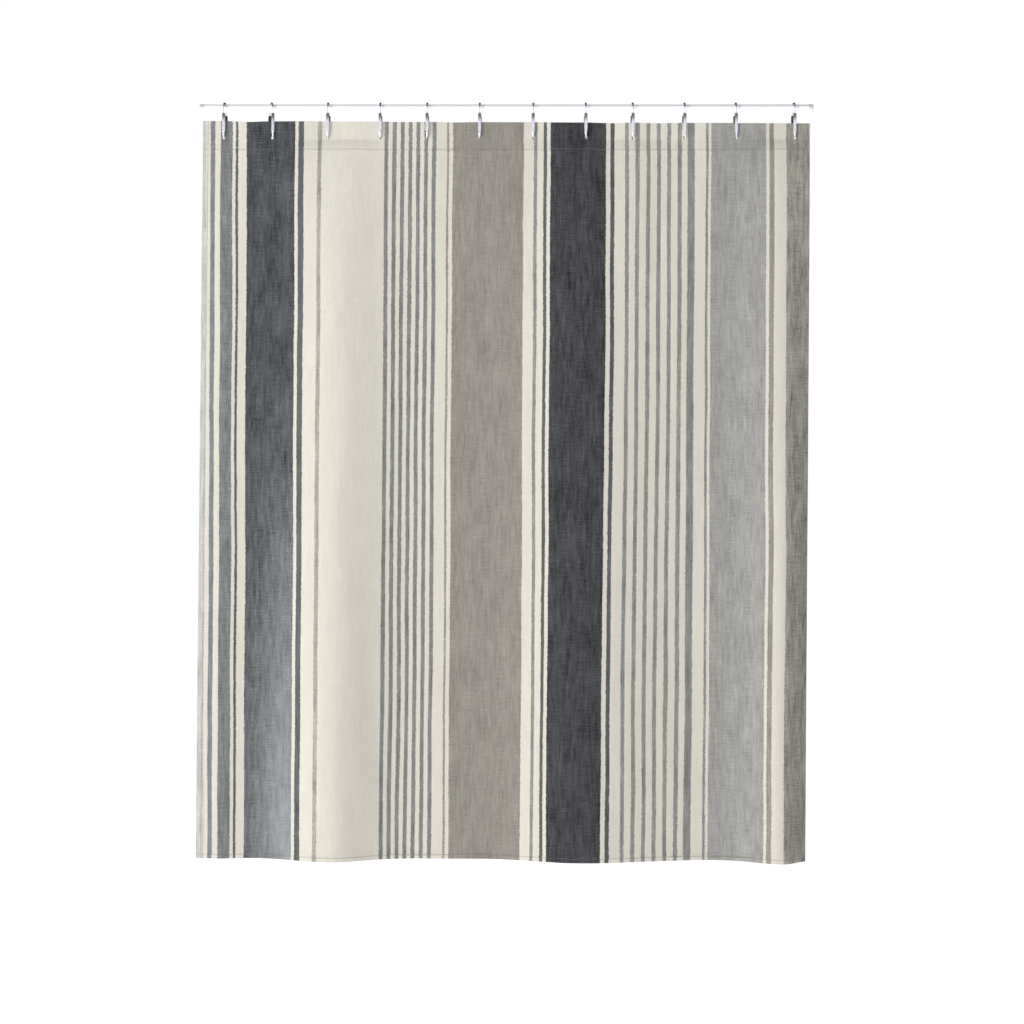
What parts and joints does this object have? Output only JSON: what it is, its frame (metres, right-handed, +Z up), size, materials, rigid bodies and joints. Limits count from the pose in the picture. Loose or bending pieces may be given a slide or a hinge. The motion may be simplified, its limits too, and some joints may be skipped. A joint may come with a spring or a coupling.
{
  "type": "shower curtain",
  "caption": "Striped cloth shower curtain with hemmed edges, hung by sewn buttonholes on two-sided chrome roller hooks that run along a straight white rod.",
  "frame": {"origin": "centre of the rod's left end face, where it meets the wall", "axes": "+X runs along the rod to its right end, +Y points from the viewer into the bath, +Z is up"},
  "size_m": [1.529, 0.0896, 1.8778],
  "materials": {
    "rod_paint": "gloss white enamel on steel tube",
    "cap_plastic": "satin white moulded plastic",
    "printed_cloth": "woven polyester printed with cream, grey and charcoal stripes, pale back",
    "sewing_thread": "close zigzag stitching in off-white thread",
    "hook_chrome": "polished chrome plate",
    "bead_chrome": "dark polished metal beads"
  },
  "bodies": {
    "rod": {"rod_tube": "rod_paint", "rod_cap_left": "cap_plastic", "rod_cap_right": "cap_plastic"},
    "curtain": {"curtain_panel": "printed_cloth", "top_hem": "printed_cloth", "bottom_hem": "printed_cloth", "left_hem": "printed_cloth", "right_hem": "printed_cloth", "buttonholes": "sewing_thread", "hook_01_bow": "hook_chrome", "hook_01_beads": "bead_chrome", "hook_01_front_bar": "hook_chrome", "hook_01_back_bar": "hook_chrome"},
    "hook_02": {"hook_02_bow": "hook_chrome", "hook_02_beads": "bead_chrome", "hook_02_front_bar": "hook_chrome", "hook_02_back_bar": "hook_chrome"},
    "hook_03": {"hook_03_bow": "hook_chrome", "hook_03_beads": "bead_chrome", "hook_03_front_bar": "hook_chrome", "hook_03_back_bar": "hook_chrome"},
    "hook_04": {"hook_04_bow": "hook_chrome", "hook_04_beads": "bead_chrome", "hook_04_front_bar": "hook_chrome", "hook_04_back_bar": "hook_chrome"},
    "hook_05": {"hook_05_bow": "hook_chrome", "hook_05_beads": "bead_chrome", "hook_05_front_bar": "hook_chrome", "hook_05_back_bar": "hook_chrome"},
    "hook_06": {"hook_06_bow": "hook_chrome", "hook_06_beads": "bead_chrome", "hook_06_front_bar": "hook_chrome", "hook_06_back_bar": "hook_chrome"},
    "hook_07": {"hook_07_bow": "hook_chrome", "hook_07_beads": "bead_chrome", "hook_07_front_bar": "hook_chrome", "hook_07_back_bar": "hook_chrome"},
    "hook_08": {"hook_08_bow": "hook_chrome", "hook_08_beads": "bead_chrome", "hook_08_front_bar": "hook_chrome", "hook_08_back_bar": "hook_chrome"},
    "hook_09": {"hook_09_bow": "hook_chrome", "hook_09_beads": "bead_chrome", "hook_09_front_bar": "hook_chrome", "hook_09_back_bar": "hook_chrome"},
    "hook_10": {"hook_10_bow": "hook_chrome", "hook_10_beads": "bead_chrome", "hook_10_front_bar": "hook_chrome", "hook_10_back_bar": "hook_chrome"},
    "hook_11": {"hook_11_bow": "hook_chrome", "hook_11_beads": "bead_chrome", "hook_11_front_bar": "hook_chrome", "hook_11_back_bar": "hook_chrome"},
    "hook_12": {"hook_12_bow": "hook_chrome", "hook_12_beads": "bead_chrome", "hook_12_front_bar": "hook_chrome", "hook_12_back_bar": "hook_chrome"}
  },
  "joints": [
    {"name": "curtain_swing", "type": "hinge", "parent": "rod", "child": "curtain", "pos_m": [0.762, 0, 0], "axis": [1, 0, 0], "range_deg": [-20, 20]},
    {"name": "hook_12_slide", "type": "slide", "parent": "curtain", "child": "hook_12", "axis": [1, 0, 0], "range_m": [-1.1312, 0], "deforming": ["curtain_panel", "top_hem", "bottom_hem", "left_hem", "right_hem", "buttonholes"]},
    {"name": "hook_02_slide", "type": "slide", "parent": "curtain", "child": "hook_02", "axis": [1, 0, 0], "range_m": [-0.09244, 0]},
    {"name": "hook_03_slide", "type": "slide", "parent": "curtain", "child": "hook_03", "axis": [1, 0, 0], "range_m": [-0.20567, 0]},
    {"name": "hook_04_slide", "type": "slide", "parent": "curtain", "child": "hook_04", "axis": [1, 0, 0], "range_m": [-0.30931, 0]},
    {"name": "hook_05_slide", "type": "slide", "parent": "curtain", "child": "hook_05", "axis": [1, 0, 0], "range_m": [-0.40255, 0]},
    {"name": "hook_06_slide", "type": "slide", "parent": "curtain", "child": "hook_06", "axis": [1, 0, 0], "range_m": [-0.50698, 0]},
    {"name": "hook_07_slide", "type": "slide", "parent": "curtain", "child": "hook_07", "axis": [1, 0, 0], "range_m": [-0.61302, 0]},
    {"name": "hook_08_slide", "type": "slide", "parent": "curtain", "child": "hook_08", "axis": [1, 0, 0], "range_m": [-0.71746, 0]},
    {"name": "hook_09_slide", "type": "slide", "parent": "curtain", "child": "hook_09", "axis": [1, 0, 0], "range_m": [-0.81069, 0]},
    {"name": "hook_10_slide", "type": "slide", "parent": "curtain", "child": "hook_10", "axis": [1, 0, 0], "range_m": [-0.91353, 0]},
    {"name": "hook_11_slide", "type": "slide", "parent": "curtain", "child": "hook_11", "axis": [1, 0, 0], "range_m": [-1.01557, 0]}
  ],
  "couplings": [
    {"joint": "hook_02_slide", "follows": "hook_12_slide", "ratio": 0.081715},
    {"joint": "hook_03_slide", "follows": "hook_12_slide", "ratio": 0.18182},
    {"joint": "hook_04_slide", "follows": "hook_12_slide", "ratio": 0.27343},
    {"joint": "hook_05_slide", "follows": "hook_12_slide", "ratio": 0.35586},
    {"joint": "hook_06_slide", "follows": "hook_12_slide", "ratio": 0.44818},
    {"joint": "hook_07_slide", "follows": "hook_12_slide", "ratio": 0.54192},
    {"joint": "hook_08_slide", "follows": "hook_12_slide", "ratio": 0.63424},
    {"joint": "hook_09_slide", "follows": "hook_12_slide", "ratio": 0.71666},
    {"joint": "hook_10_slide", "follows": "hook_12_slide", "ratio": 0.80757},
    {"joint": "hook_11_slide", "follows": "hook_12_slide", "ratio": 0.89777}
  ]
}
